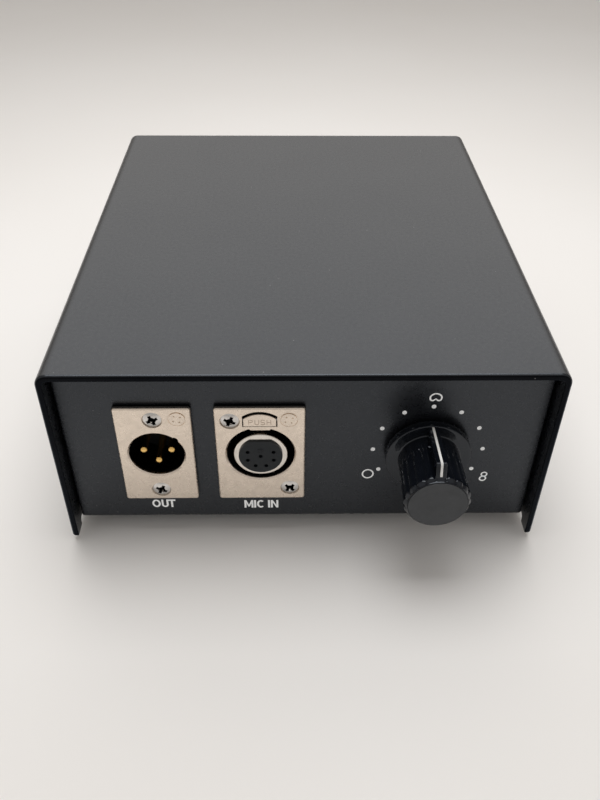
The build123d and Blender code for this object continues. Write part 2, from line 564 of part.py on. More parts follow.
def make_switch():
    shaft = rod_y(SHAFT_R, HUB_BACK - 7.6, HOUSING_BACK + 1.0, KNOB_X, KNOB_Z)
    rotor = rod_y(10.5, PANEL_BACK + 10.0, PANEL_BACK + 12.0, KNOB_X, KNOB_Z)
    for i in range(12):
        angle = math.radians(30.0 * i)
        x, z = KNOB_X + 10.9 * math.sin(angle), KNOB_Z + 10.9 * math.cos(angle)
        rotor -= rod_y(1.2, PANEL_BACK + 9, PANEL_BACK + 13, x, z)
    rotor -= rod_y(SHAFT_R, PANEL_BACK + 9, PANEL_BACK + 13, KNOB_X, KNOB_Z)
    save("switch_shaft", shaft)
    save("switch_rotor", rotor)
    bushing = rod_y(BUSHING_R, BUSHING_FRONT, PANEL_BACK + 1.5, KNOB_X, KNOB_Z)
    save("switch_bushing", bushing - rod_y(SHAFT_R + RUN, -200, 200, KNOB_X, KNOB_Z))
    washer = rod_y(7.6, PANEL_Y - 0.8, PANEL_Y, KNOB_X, KNOB_Z)
    save("switch_washer", washer - rod_y(BUSHING_R + 0.05, -200, 200, KNOB_X, KNOB_Z))
    nut = hexagon_y(14.0, PANEL_Y - 3.0, PANEL_Y - 0.8, KNOB_X, KNOB_Z)
    save("switch_nut", nut - rod_y(BUSHING_R + 0.03, -200, 200, KNOB_X, KNOB_Z))
    housing = rod_y(14.0, PANEL_BACK, HOUSING_BACK - 1.6, KNOB_X, KNOB_Z)
    housing -= rod_y(12.6, PANEL_BACK + 1.5, HOUSING_BACK, KNOB_X, KNOB_Z)
    housing -= rod_y(BUSHING_R, PANEL_BACK - 1, PANEL_BACK + 2, KNOB_X, KNOB_Z)
    save("switch_housing", housing)
    wafer = rod_y(15.5, HOUSING_BACK - 1.6, HOUSING_BACK, KNOB_X, KNOB_Z)
    wafer -= rod_y(SHAFT_R + RUN, HOUSING_BACK - 3, HOUSING_BACK + 1, KNOB_X, KNOB_Z)
    tags = []
    for i in range(12):
        angle = math.radians(30.0 * i)
        x, z = KNOB_X + 13.6 * math.sin(angle), KNOB_Z + 13.6 * math.cos(angle)
        tag = block(x - 0.9, x + 0.9, HOUSING_BACK, HOUSING_BACK + 4.5, z - 0.25, z + 0.25)
        tags.append(tag)
    save("switch_wafer", wafer)
    save("switch_tags", *tags)


# ---- rear panel -------------------------------------------------------------------------
INLET_FACE = REAR_Y + 3.0
SOCKET_UP = 5.2             # the inlet's cavity above the module's middle
DRAWER_UP = -9.6            # the fuse drawer's middle below it
DRAWER_DEPTH = 15.0


def make_inlet():
    flange = slab(RectangleRounded(50.0, 34.5, 3.0), REAR_Y, INLET_FACE, INLET_X, INLET_Z)
    body = flange + block(
        INLET_X - 13.7, INLET_X + 13.7, REAR_Y - 18, REAR_Y + 0.5, INLET_Z - 15.6, INLET_Z + 15.6
    )
    mouth = Pos(0, SOCKET_UP) * Rectangle(24.4, 16.6)
    mouth = chamfer(mouth.vertices().sort_by(Axis.Y)[:2], 4.0)
    body -= slab(mouth, INLET_FACE - 16.0, INLET_FACE + 1, INLET_X, INLET_Z)
    z = INLET_Z + DRAWER_UP
    body -= block(
        INLET_X - 12.3, INLET_X + 12.3, INLET_FACE - DRAWER_DEPTH - 0.6, INLET_FACE + 1, z - 4.3, z + 4.3
    )
    for x, sz in INLET_SCREWS:
        body -= cone_y(M3_CLEAR, SCREW_HEAD_R + 0.05, INLET_FACE - SCREW_HEAD_H, INLET_FACE, x, sz)
        body -= rod_y(M3_CLEAR, REAR_Y - 1, INLET_FACE, x, sz)
    blades = []
    for dx, dz in ((-7.0, 3.2), (7.0, 3.2), (0.0, 7.2)):
        x, bz = INLET_X + dx, INLET_Z + dz
        front, back = INLET_FACE - 2.5, REAR_Y - 24.0
        body -= block(x - 1, x + 1, back, INLET_FACE - 15, bz - 2, bz + 2)
        blades.append(block(x - 1, x + 1, back, front, bz - 2, bz + 2))
    save("mains_inlet_body", body)
    save("mains_inlet_blades", *blades)
    screws, nuts = [], []
    for x, sz in INLET_SCREWS:
        head = cone_y(M3_R, SCREW_HEAD_R, INLET_FACE - SCREW_HEAD_H, INLET_FACE, x, sz)
        screw = head + rod_y(M3_R, REAR_INNER - 4, INLET_FACE - SCREW_HEAD_H + 0.2, x, sz)
        screws.append(screw - cross_recess(SCREW_HEAD_R, 2.0, INLET_FACE - 1.1, x, sz))
        nuts.append(panel_nut(x, sz, REAR_INNER - 2.4))
    save("mains_inlet_screws", *screws)

    drawer = block(
        INLET_X - 12.0, INLET_X + 12.0, INLET_FACE - DRAWER_DEPTH, INLET_FACE, z - 4.0, z + 4.0
    )
    drawer -= block(INLET_X - 10.6, INLET_X + 10.6, INLET_FACE - 13.4, INLET_FACE - 2, z - 2.9, z + 5)
    drawer += block(INLET_X - 5, INLET_X + 5, INLET_FACE - 0.5, INLET_FACE + 0.9, z - 3.4, z - 2.2)
    save("fuse_drawer", drawer)
    fuse_y = INLET_FACE - 7.5
    glass = rod_x(2.45, INLET_X - 6.0, INLET_X + 6.0, fuse_y, z - 0.3)
    caps = [rod_x(2.6, INLET_X + s * 8 - 2, INLET_X + s * 8 + 2, fuse_y, z - 0.3) for s in (-1, 1)]
    save("fuse_glass", glass)
    save("fuse_caps", *caps)
    return nuts


ROCKER_PIVOT_Y = REAR_Y + 0.2
ROCKER_TILT = 10.0


def make_rocker():
    bezel = slab(RectangleRounded(15.0, 21.0, 1.5), REAR_Y, REAR_Y + 2.0, ROCKER_X, INLET_Z)
    body = bezel + block(
        ROCKER_X - 6.4, ROCKER_X + 6.4, REAR_Y - 13.0, REAR_Y + 0.5, INLET_Z - 9.4, INLET_Z + 9.4
    )
    body -= block(
        ROCKER_X - 5.5, ROCKER_X + 5.5, REAR_Y - 6.0, REAR_Y + 3, INLET_Z - 8.8, INLET_Z + 8.8
    )
    body -= rod_x(0.9 + RUN, ROCKER_X - 7, ROCKER_X + 7, ROCKER_PIVOT_Y, INLET_Z)
    save("power_switch_body", body)
    tags = [
        block(ROCKER_X - 2.4, ROCKER_X + 2.4, REAR_Y - 20.0, REAR_Y - 13.0, z - 0.4, z + 0.4)
        for z in (INLET_Z - 5.0, INLET_Z + 5.0)
    ]
    save("power_switch_tags", *tags)
    outline = Polyline(
        (2.2, 0.0), (3.6, 7.4), (2.4, 8.0), (-2.4, 5.0), (-2.4, -5.0), (2.4, -8.0), (3.6, -7.4),
        (2.2, 0.0),
    )
    plane = Plane((ROCKER_X - 5.1, ROCKER_PIVOT_Y, INLET_Z), x_dir=(0, 1, 0), z_dir=(1, 0, 0))
    rocker = extrude(plane * Rot(0, 0, -ROCKER_TILT) * make_face(outline), amount=10.2)
    rocker += rod_x(0.9, ROCKER_X - 6.3, ROCKER_X + 6.3, ROCKER_PIVOT_Y, INLET_Z)
    save("power_rocker", rocker)


def make_selector():
    face = REAR_Y + 2.0
    plate = slab(RectangleRounded(34.0, 13.0, 1.0), REAR_Y, face, SELECTOR_X, INLET_Z)
    body = plate + block(
        SELECTOR_X - 10, SELECTOR_X + 10, REAR_Y - 9, REAR_Y + 0.5, INLET_Z - 5, INLET_Z + 5
    )
    body -= block(
        SELECTOR_X - 8.5, SELECTOR_X + 8.5, REAR_Y - 4, face + 1, INLET_Z - 3.6, INLET_Z + 3.6
    )
    screws, nuts = [], []
    for x, z in SELECTOR_SCREWS:
        body -= rod_y(M3_CLEAR, REAR_Y - 1, face + 1, x, z)
        head = rod_y(2.7, face, face + 1.8, x, z) - cross_recess(2.7, 2.0, face + 1.0, x, z)
        screws.append(head + rod_y(M3_R, REAR_INNER - 4, face + 0.2, x, z))
        nuts.append(panel_nut(x, z, REAR_INNER - 2.4))
    save("voltage_selector_body", body)
    save("voltage_selector_screws", *screws)
    slider = block(
        SELECTOR_X - 8.1, SELECTOR_X + 2.7, REAR_Y - 3.6, face - 0.3, INLET_Z - 3.3, INLET_Z + 3.3
    )
    middle = SELECTOR_X - 2.7
    slider -= block(middle - 0.6, middle + 0.6, face - 1.5, face, INLET_Z - 2.4, INLET_Z + 2.4)
    save("voltage_slider", slider)
    return nuts


# ---- inside -----------------------------------------------------------------------------
def make_transformer():
    x, y = BOLT_XY
    z0 = FLOOR_Z + 1.5
    winding = Pos(x, y, z0 + 15) * Cylinder(31.0, 30.0)
    winding = fillet(winding.edges().filter_by(GeomType.CIRCLE), 6.0)
    winding -= rod_z(10.0, z0 - 1, z0 + 31, x, y)
    save("transformer_winding", winding)
    pads = [
        rod_z(27.0, z, z + 1.5, x, y) - rod_z(3.6, z - 1, z + 2, x, y) for z in (FLOOR_Z, z0 + 30)
    ]
    save("transformer_pads", *pads)
    plate = rod_z(26.0, z0 + 31.5, z0 + 33.0, x, y) - rod_z(3.3, z0 + 30, z0 + 35, x, y)
    save("transformer_plate", plate)
    head = Pos(x, y, TRAY_Z - 3.6) * extrude(RegularPolygon(10 / math.sqrt(3), 6), amount=3.6)
    save("transformer_bolt", head + rod_z(3.0, TRAY_Z - 1, z0 + 40, x, y))
    nut = Pos(x, y, z0 + 33) * extrude(RegularPolygon(10 / math.sqrt(3), 6), amount=5.0)
    save("transformer_nut", nut - rod_z(3.03, z0 + 32, z0 + 39, x, y))


BOARD_TOP = BOARD_Z + BOARD_T
# place on the board, radius and height of each capacitor
CAN_SIZES = [(20, -16, 9, 33), (41, -16, 9, 33), (20, 6, 8, 30), (41, 6, 8, 30), (56, 26, 6.3, 20)]
TERMINAL_SPOTS = [(16, -35), (38, -35), (36, 52)]


def make_board():
    board = block(BOARD_X[0], BOARD_X[1], BOARD_Y[0], BOARD_Y[1], BOARD_Z, BOARD_TOP)
    posts, screws = [], []
    for x, y in STANDOFFS:
        board -= rod_z(M3_CLEAR, BOARD_Z - 1, BOARD_TOP + 1, x, y)
        post = Pos(x, y, FLOOR_Z) * extrude(RegularPolygon(5.5 / math.sqrt(3), 6), amount=8.0)
        posts.append(post - rod_z(M3_R + 0.03, FLOOR_Z - 1, BOARD_Z + 1, x, y))
        upper = (BOARD_TOP, BOARD_TOP + 2, BOARD_Z - 3)
        lower = (TRAY_Z - 2, TRAY_Z, FLOOR_Z + 3)
        for low, high, tip in (upper, lower):
            shank = sorted((low + 0.2 if tip < low else high - 0.2, tip))
            screws.append(rod_z(2.8, low, high, x, y) + rod_z(M3_R, shank[0], shank[1], x, y))
    save("circuit_board", board)
    save("board_standoffs", *posts)
    save("board_screws", *screws)

    cans = []
    for x, y, r, h in CAN_SIZES:
        can = rod_z(r, BOARD_TOP, BOARD_TOP + h, x, y)
        cans.append(fillet(can.edges().filter_by(GeomType.CIRCLE).sort_by(Axis.Z)[-1], 0.8))
    save("filter_capacitors", *cans)
    sink = block(14, 44, 34, 37, BOARD_TOP, BOARD_TOP + 30)
    for i in range(6):
        x = 14 + 5.6 * i
        sink += block(x, x + 2, 36.5, 47, BOARD_TOP, BOARD_TOP + 30)
    save("regulator_heatsink", sink)
    regulators = [
        block(x - 5, x + 5, 29.4, 34.0, BOARD_TOP + 4, BOARD_TOP + 19) for x in (21.0, 37.0)
    ]
    save("regulators", *regulators)
    save("bridge_rectifiers", *[block(12, 27, y, y + 4, BOARD_TOP, BOARD_TOP + 11) for y in (20, 51)])
    resistors = [
        rod_y(1.6, y - 4, y + 4, x, BOARD_TOP + 1.6) for y in (-4.0, 10.0) for x in (53.0, 58.0)
    ]
    save("resistors", *resistors)
    blocks = [
        block(x0, x0 + 20, y0, y0 + 8, BOARD_TOP, BOARD_TOP + 10) for x0, y0 in TERMINAL_SPOTS
    ]
    save("terminal_blocks", *blocks)
    x, y = STUD_XY
    stud = rod_z(1.6, TRAY_Z - 2.0, FLOOR_Z + 10, x, y) + rod_z(3.0, TRAY_Z - 2.0, TRAY_Z, x, y)
    save("ground_stud", stud)
    nuts = Pos(x, y, FLOOR_Z) * extrude(RegularPolygon(7 / math.sqrt(3), 6), amount=3.0)
    save("ground_nut", nuts - rod_z(1.63, FLOOR_Z - 1, FLOOR_Z + 5, x, y))


def wire(points, radius, bend):
    """A round wire along straight runs joined by arcs."""
    path = FilletPolyline(*points, radius=bend)
    start = Plane(origin=path @ 0, z_dir=path % 0)
    return sweep(start * Circle(radius), path=path)


def make_wiring():
    mains = []
    for i, z in enumerate((INLET_Z - 5.0, INLET_Z + 5.0)):
        x = INLET_X + 7.0 - 14 * i
        start = (x, REAR_Y - 24.3, INLET_Z + 3.2)
        mains.append(wire([start, (x, REAR_Y - 30, INLET_Z + 3.2), (ROCKER_X, REAR_Y - 30, z),
                           (ROCKER_X, REAR_Y - 20.3, z)], 1.1, 3.0))
    save("mains_wiring", *mains)
    signal = []
    for i in range(5):
        dx, dz = CONTACT_SPOTS[i]
        x, z = MIC_X + dx, BORE_Z + dz
        end_x = 18.0 + 4 * i
        y1 = MIC_BACK + 7 + 2.4 * i
        signal.append(wire([(x, MIC_BACK + 3.3, z), (x, y1, z), (end_x, y1 + 3, BOARD_TOP + 14 + i),
                            (end_x, y1 + 3, BOARD_TOP + 10.3)], 0.8, 1.9))
    save("signal_wiring", *signal)


os.makedirs("parts", exist_ok=True)
make_cover()
make_tray()
make_out_socket()
make_mic_socket()
make_latch()
make_knob()
make_switch()
make_rocker()
make_transformer()
make_board()
make_wiring()
save("m3_nuts", *make_feet(), *make_socket_fasteners(), *make_inlet(), *make_selector())
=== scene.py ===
import json
import math

import bmesh
import bpy
from mathutils import Matrix, Vector


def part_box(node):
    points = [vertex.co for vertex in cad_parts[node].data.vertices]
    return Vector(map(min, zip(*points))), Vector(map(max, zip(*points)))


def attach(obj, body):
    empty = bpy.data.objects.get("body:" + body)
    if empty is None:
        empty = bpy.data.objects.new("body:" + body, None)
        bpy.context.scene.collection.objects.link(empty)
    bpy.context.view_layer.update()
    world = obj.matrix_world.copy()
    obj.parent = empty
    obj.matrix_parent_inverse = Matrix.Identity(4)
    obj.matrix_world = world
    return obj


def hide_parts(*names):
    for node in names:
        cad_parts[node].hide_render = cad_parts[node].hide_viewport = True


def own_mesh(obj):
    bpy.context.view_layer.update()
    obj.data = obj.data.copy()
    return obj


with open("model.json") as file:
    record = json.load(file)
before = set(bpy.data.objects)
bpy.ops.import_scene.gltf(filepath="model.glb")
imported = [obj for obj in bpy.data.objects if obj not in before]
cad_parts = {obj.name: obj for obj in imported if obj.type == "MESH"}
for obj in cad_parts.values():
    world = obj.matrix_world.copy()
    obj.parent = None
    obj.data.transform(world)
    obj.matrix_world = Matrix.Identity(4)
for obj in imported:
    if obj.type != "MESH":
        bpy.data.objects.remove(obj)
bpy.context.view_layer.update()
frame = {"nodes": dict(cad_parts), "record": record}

MM = 0.001


# ---------------------------------------------------------------- materials

NOISE_LOW, NOISE_HIGH = 0.3, 0.7            # the part of a noise's range that is spread out
NICKEL = (0.81, 0.705, 0.60)                # satin nickel plate
PAINTED_SHADE_BLACK = (0.02, 0.02, 0.022)                # painted shade: black for the shaded depths of a socket's hollow and of the socket screws' heads
SHADE_EDGE_START, SHADE_EDGE_END = 0.26 * MM, 0.14 * MM  # how far in from the cover's front and back its painted shade on the cut sheet edges reaches


def principled(name, color, roughness, metallic=0.0, **sockets):
    """A new node material: returns it with its node tree and its Principled shader."""
    material = bpy.data.materials.new(name)
    material.use_nodes = True
    material.diffuse_color = (*color, 1.0)
    tree = material.node_tree
    shader = tree.nodes["Principled BSDF"]
    shader.inputs["Base Color"].default_value = (*color, 1.0)
    shader.inputs["Roughness"].default_value = roughness
    shader.inputs["Metallic"].default_value = metallic
    for socket, value in sockets.items():
        shader.inputs[socket.replace("_", " ")].default_value = value
    return material, tree, shader


def object_noise(tree, size_mm, detail=2.0):
    """Noise fixed to the object, with features about size_mm across."""
    coords = tree.nodes.new("ShaderNodeTexCoord")
    noise = tree.nodes.new("ShaderNodeTexNoise")
    noise.inputs["Scale"].default_value = 1.0 / (size_mm * MM)
    noise.inputs["Detail"].default_value = detail
    tree.links.new(coords.outputs["Object"], noise.inputs["Vector"])
    return noise.outputs["Fac"]


def object_y(tree):
    """How far back a point lies, along the frame's Y axis."""
    coords = tree.nodes.new("ShaderNodeTexCoord")
    split = tree.nodes.new("ShaderNodeSeparateXYZ")
    tree.links.new(coords.outputs["Object"], split.inputs["Vector"])
    return split.outputs["Y"]


def specks(tree, spacing_mm, share):
    """1 inside a few small specks, 0 elsewhere."""
    coords = tree.nodes.new("ShaderNodeTexCoord")
    cells = tree.nodes.new("ShaderNodeTexVoronoi")
    cells.inputs["Scale"].default_value = 1.0 / (spacing_mm * MM)
    ramp = tree.nodes.new("ShaderNodeMapRange")
    ramp.inputs["From Min"].default_value = share
    ramp.inputs["From Max"].default_value = share * 0.4
    tree.links.new(coords.outputs["Object"], cells.inputs["Vector"])
    tree.links.new(cells.outputs["Distance"], ramp.inputs["Value"])
    return ramp.outputs["Result"]


def shades(color, spread):
    """A colour's darker and lighter neighbours."""
    dark = tuple(c * (1.0 - spread) for c in color)
    light = tuple(min(1.0, c * (1.0 + spread)) for c in color)
    return dark, light


def vary_color(tree, shader, factor, dark, light):
    """Base colour that drifts between two colours; returns its socket."""
    ramp = tree.nodes.new("ShaderNodeValToRGB")
    ramp.color_ramp.elements[0].position = NOISE_LOW
    ramp.color_ramp.elements[1].position = NOISE_HIGH
    ramp.color_ramp.elements[0].color = (*dark, 1.0)
    ramp.color_ramp.elements[1].color = (*light, 1.0)
    tree.links.new(factor, ramp.inputs["Fac"])
    tree.links.new(ramp.outputs["Color"], shader.inputs["Base Color"])
    return ramp.outputs["Color"]


def vary_roughness(tree, shader, factor, low, high):
    """Roughness that drifts between two values."""
    span = tree.nodes.new("ShaderNodeMapRange")
    span.inputs["From Min"].default_value = NOISE_LOW
    span.inputs["From Max"].default_value = NOISE_HIGH
    span.inputs["To Min"].default_value = low
    span.inputs["To Max"].default_value = high
    tree.links.new(factor, span.inputs["Value"])
    tree.links.new(span.outputs["Result"], shader.inputs["Roughness"])


def add_bump(tree, shader, factor, depth_mm, strength):
    """Fine relief on the surface."""
    bump = tree.nodes.new("ShaderNodeBump")
    bump.inputs["Distance"].default_value = depth_mm * MM
    bump.inputs["Strength"].default_value = strength
    tree.links.new(factor, bump.inputs["Height"])
    tree.links.new(bump.outputs["Normal"], shader.inputs["Normal"])


def band(tree, value, start, end):
    """0 below start and 1 above end, or the reverse where end is the smaller, with a soft edge."""
    span = tree.nodes.new("ShaderNodeMapRange")
    span.interpolation_type = "SMOOTHSTEP"
    low, high = min(start, end), max(start, end)
    span.inputs["From Min"].default_value = low
    span.inputs["From Max"].default_value = high
    span.inputs["To Min"].default_value = 0.0 if start < end else 1.0
    span.inputs["To Max"].default_value = 1.0 if start < end else 0.0
    tree.links.new(value, span.inputs["Value"])
    return span.outputs["Result"]


def mixed(tree, factor, first, second):
    """Blend of two colours; each is a socket or three numbers."""
    mix = tree.nodes.new("ShaderNodeMix")
    mix.data_type = "RGBA"
    tree.links.new(factor, mix.inputs["Factor"])
    for name, color in (("A", first), ("B", second)):
        if isinstance(color, tuple):
            mix.inputs[name].default_value = (*color, 1.0)
        else:
            tree.links.new(color, mix.inputs[name])
    return mix.outputs["Result"]


def powder_coat(name, shaded_edges=False):
    """Fine-textured satin black powder coat with a few pale dust specks, and, where asked, painted
    shade on the cover's cut sheet edges.
    """
    material, tree, shader = principled(name, (0.006, 0.0065, 0.008), 0.4)
    shader.inputs["IOR"].default_value = 1.57
    shader.inputs["Specular Tint"].default_value = (0.82, 0.895, 1.0, 1.0)
    cloud = object_noise(tree, 24.0, 3.0)
    base = vary_color(tree, shader, cloud, (0.005, 0.0055, 0.007), (0.008, 0.0085, 0.010))
    dusty = mixed(tree, specks(tree, 7.0, 0.03), base, (0.16, 0.16, 0.16))
    tree.links.new(dusty, shader.inputs["Base Color"])
    vary_roughness(tree, shader, object_noise(tree, 1.1, 3.0), 0.25, 0.34)
    add_bump(tree, shader, object_noise(tree, 0.5, 3.0), 0.012, 0.5)
    if shaded_edges:
        paint_shade_on_cut_edges(tree, shader)
    return material


def paint_shade_on_cut_edges(tree, shader):
    """Painted shade: the cover's two cut sheet edges are made metallic with the coat's near-black
    colour, so they show black.
    """
    low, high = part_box("top_cover")
    middle = (low.y + high.y) / 2
    half = (high.y - low.y) / 2
    offset = tree.nodes.new("ShaderNodeMath")
    offset.operation = "SUBTRACT"
    offset.inputs[1].default_value = middle
    away = tree.nodes.new("ShaderNodeMath")
    away.operation = "ABSOLUTE"
    tree.links.new(object_y(tree), offset.inputs[0])
    tree.links.new(offset.outputs["Value"], away.inputs[0])
    # painted shade: 1 on the cut edges at the cover's front and back
    edge = band(tree, away.outputs["Value"], half - SHADE_EDGE_START, half - SHADE_EDGE_END)
    tree.links.new(edge, shader.inputs["Metallic"])


def metal_surface(tree, shader, color, roughness, grain_mm, depth_mm, cloud):
    """Cloudy colour, uneven gloss and a fine grain; returns the colour's socket."""
    dark, light = shades(color, cloud)
    cloudy = vary_color(tree, shader, object_noise(tree, 2.2, 4.0), dark, light)
    vary_roughness(tree, shader, object_noise(tree, 1.3, 4.0), roughness * 0.75, roughness * 1.25)
    add_bump(tree, shader, object_noise(tree, grain_mm, 2.0), depth_mm, 0.6)
    return cloudy


def plated(name, color, roughness, grain_mm=0.3, depth_mm=0.002, cloud=0.06):
    """Plated or bare metal."""
    material, tree, shader = principled(name, color, roughness, 1.0)
    metal_surface(tree, shader, color, roughness, grain_mm, depth_mm, cloud)
    return material


def moulded(name, color, roughness, grain_mm=0.4, depth_mm=0.004, spread=0.12, **sockets):
    """Plastic, rubber, sleeve or paint with a slight grain and uneven tone."""
    material, tree, shader = principled(name, color, roughness, **sockets)
    dark, light = shades(color, spread)
    vary_color(tree, shader, object_noise(tree, 5.0, 3.0), dark, light)
    vary_roughness(tree, shader, object_noise(tree, 1.7, 3.0), roughness * 0.85, roughness * 1.15)
    add_bump(tree, shader, object_noise(tree, grain_mm, 2.0), depth_mm, 0.5)
    return material


def shaded_inside(name, node, color, roughness, start_mm, end_mm):
    """Plated metal with painted shade: it turns black between two depths behind the node's front,
    where the hollow lies in shade.
    """
    material, tree, shader = principled(name, color, roughness, 1.0)
    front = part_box(node)[0].y
    cloudy = metal_surface(tree, shader, color, roughness, 0.35, 0.002, 0.05)
    # painted shade: black from this depth inwards
    inside = band(tree, object_y(tree), front + start_mm * MM, front + end_mm * MM)
    tree.links.new(mixed(tree, inside, cloudy, PAINTED_SHADE_BLACK), shader.inputs["Base Color"])
    return material


def glass(name):
    """Clear glass with a slight waviness."""
    material, tree, shader = principled(name, (0.95, 0.97, 0.96), 0.03)
    shader.inputs["Transmission Weight"].default_value = 1.0
    shader.inputs["IOR"].default_value = 1.5
    add_bump(tree, shader, object_noise(tree, 3.0), 0.002, 0.3)
    return material


def make_materials():
    """A finish for each of the record's material slots, and a few for single nodes or prints."""
    return {
        "black_paint": powder_coat("powder_coat"),
        # painted shade on the cover's cut sheet edges
        "cover_paint": powder_coat("cover_powder_coat", True),
        "black_screw": plated("black_oxide", (0.035, 0.035, 0.038), 0.32),
        "rubber": moulded("foot_rubber", (0.022, 0.022, 0.023), 0.75, 0.5, 0.01),
        "zinc_steel": plated("zinc_plate", (0.62, 0.63, 0.64), 0.28),
        "screw_steel": plated("screw_nickel", (0.66, 0.64, 0.62), 0.13, 0.3, 0.0008),
        "satin_nickel": plated("satin_nickel", NICKEL, 0.30, 0.35, 0.002, 0.05),
        # a darker nickel for the embossed letters of PUSH
        "latch_letter_nickel": plated("latch_letters", (0.50, 0.41, 0.34), 0.30, 0.35, 0.002, 0.05),
        "bright_nickel": plated("bright_nickel", (0.80, 0.75, 0.69), 0.16),
        "black_plastic": moulded("socket_plastic", (0.011, 0.014, 0.017), 0.42, 0.25, 0.003,
                                 IOR=1.34),
        "gold": plated("gold_plate", (0.95, 0.62, 0.22), 0.18),
        "spring_steel": plated("spring_steel", (0.55, 0.55, 0.54), 0.25),
        "knob_gloss": moulded("knob_gloss", (0.0035, 0.0045, 0.007), 0.1, 0.9, 0.002,
                              Specular_Tint=(0.86, 0.92, 1.0, 1.0)),
        "knob_matte": moulded("knob_cap_matt", (0.035, 0.036, 0.038), 0.5, 0.25, 0.004,
                              Specular_Tint=(0.88, 0.94, 1.0, 1.0)),
        "white_line": moulded("white_paint", (0.78, 0.78, 0.76), 0.45),
        "brass": plated("brass", (0.78, 0.57, 0.28), 0.25),
        "phenolic": moulded("phenolic_board", (0.20, 0.075, 0.03), 0.45),
        "tinned": plated("tinned_copper", (0.70, 0.70, 0.68), 0.35),
        "fuse_glass": glass("fuse_glass"),
        "rocker_plastic": moulded("rocker_plastic", (0.02, 0.02, 0.021), 0.22, 0.8, 0.002),
        "red_plastic": moulded("slider_red", (0.42, 0.03, 0.02), 0.35),
        "winding_tape": moulded("winding_tape", (0.52, 0.36, 0.10), 0.3, 2.5, 0.05),
        "board_green": moulded("board_green", (0.015, 0.10, 0.045), 0.3),
        "can_sleeve": moulded("can_sleeve", (0.018, 0.02, 0.034), 0.25),
        "heatsink": plated("heatsink", (0.06, 0.06, 0.065), 0.45),
        "resistor_body": moulded("resistor_body", (0.23, 0.42, 0.50), 0.4),
        "terminal_green": moulded("terminal_green", (0.05, 0.27, 0.10), 0.4),
        "wire_mains": moulded("wire_brown", (0.10, 0.045, 0.02), 0.4),
        "wire_signal": moulded("wire_grey", (0.32, 0.33, 0.34), 0.4),
        # painted light: the print glows faintly bluish white, as if more light fell on it than on
        # the panel
        "print": moulded("screen_print_glowing", (0.90, 0.90, 0.89), 0.5, 0.3, 0.004, 0.04,
                         Emission_Color=(0.85, 0.93, 1.0, 1.0), Emission_Strength=0.1),
        # painted shade: the OUT socket's insert is far blacker than the black plastic, as it lies
        # deep in the shell's shade
        "shaded_insert_black": moulded("insert_painted_shade", (0.003, 0.0032, 0.004), 0.5, 0.25, 0.003),
        # painted shade: the sockets' shells go black deep in their hollows, and the screws' heads
        # down in their countersinks
        "shell": shaded_inside("socket_nickel_painted_shade", "mic_socket_shell", NICKEL, 0.30, 0.8, 1.5),
        "socket_screw": shaded_inside("socket_screw_painted_shade", "socket_screws",
                                         (0.68, 0.66, 0.64), 0.15, 0.42, 0.7),
    }


def dress_cad_nodes(made):
    """Gives every carried-over CAD node the finish of its record slot, or, for a few, a finish with
    painted shade.
    """
    # These nodes take a finish with painted shade instead of their slot's plain one.
    shaded_finishes = {"out_socket_insert": "shaded_insert_black", "mic_socket_shell": "shell",
               "out_socket_shell": "shell", "top_cover": "cover_paint",
               "socket_screws": "socket_screw"}
    for row in frame["record"]["subparts"]:
        node = frame["nodes"][row["node"]]
        finish = shaded_finishes.get(row["node"], row["material_slot"])
        for entry in node.material_slots:
            entry.material = made[finish]


# ---------------------------------------------------------------- mesh helpers

def mesh_object(name, bm, material, body, smooth_angle=35.0):
    """Turns a bmesh into a piece that rides on a body."""
    bmesh.ops.recalc_face_normals(bm, faces=bm.faces)
    mesh = bpy.data.meshes.new(name)
    bm.to_mesh(mesh)
    bm.free()
    mesh.materials.append(material)
    mesh.polygons.foreach_set("use_smooth", [True] * len(mesh.polygons))
    mesh.set_sharp_from_angle(angle=math.radians(smooth_angle))
    piece = bpy.data.objects.new(name, mesh)
    bpy.context.scene.collection.objects.link(piece)
    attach(piece, body)
    return piece


def front_prism(bm, outline, front, back):
    """A closed prism between two Y planes; outline is a list of (x, z) in metres."""
    near = [bm.verts.new((x, front, z)) for x, z in outline]
    far = [bm.verts.new((x, back, z)) for x, z in outline]
    bm.faces.new(near)
    bm.faces.new(list(reversed(far)))
    count = len(outline)
    for i in range(count):
        j = (i + 1) % count
        bm.faces.new((near[i], near[j], far[j], far[i]))


def front_ribbon(bm, path, width, front, back, closed=False):
    """A flat stroke of one width along a path of (x, z) points, between two Y planes."""
    count = len(path)
    points = [Vector(p) for p in path]
    left, right = [], []
    for i, point in enumerate(points):
        ahead = points[(i + 1) % count] if closed or i < count - 1 else None
        behind = points[i - 1] if closed or i > 0 else None
        run = (ahead or point) - (behind or point)
        side = Vector((-run.y, run.x)).normalized() * (width / 2)
        left.append(point + side)
        right.append(point - side)
    rows = [
        [bm.verts.new((p.x, y, p.y)) for p in line]
        for line, y in ((left, front), (right, front), (right, back), (left, back))
    ]
    for i in range(count if closed else count - 1):
        j = (i + 1) % count
        for a in range(4):
            b = (a + 1) % 4
            bm.faces.new((rows[a][i], rows[a][j], rows[b][j], rows[b][i]))
    if not closed:
        bm.faces.new([row[0] for row in rows])
        bm.faces.new([row[-1] for row in reversed(rows)])


def arc(cx, cz, rx, rz, start, end, steps=24):
    """Points round an ellipse; angles in degrees, anticlockwise from +x."""
    points = []
    for i in range(steps + 1):
        angle = math.radians(start + (end - start) * i / steps)
        points.append((cx + rx * math.cos(angle), cz + rz * math.sin(angle)))
    return points


def moved(path, x, z):
    """A path drawn in mm, set down in metres at (x, z)."""
    return [(x + px * MM, z + pz * MM) for px, pz in path]


# ---------------------------------------------------------------- printed legends

CAP = 3.35            # height of the capitals, mm
STEM = 0.62           # width of their strokes, mm
INK = 0.03 * MM       # thickness of the print

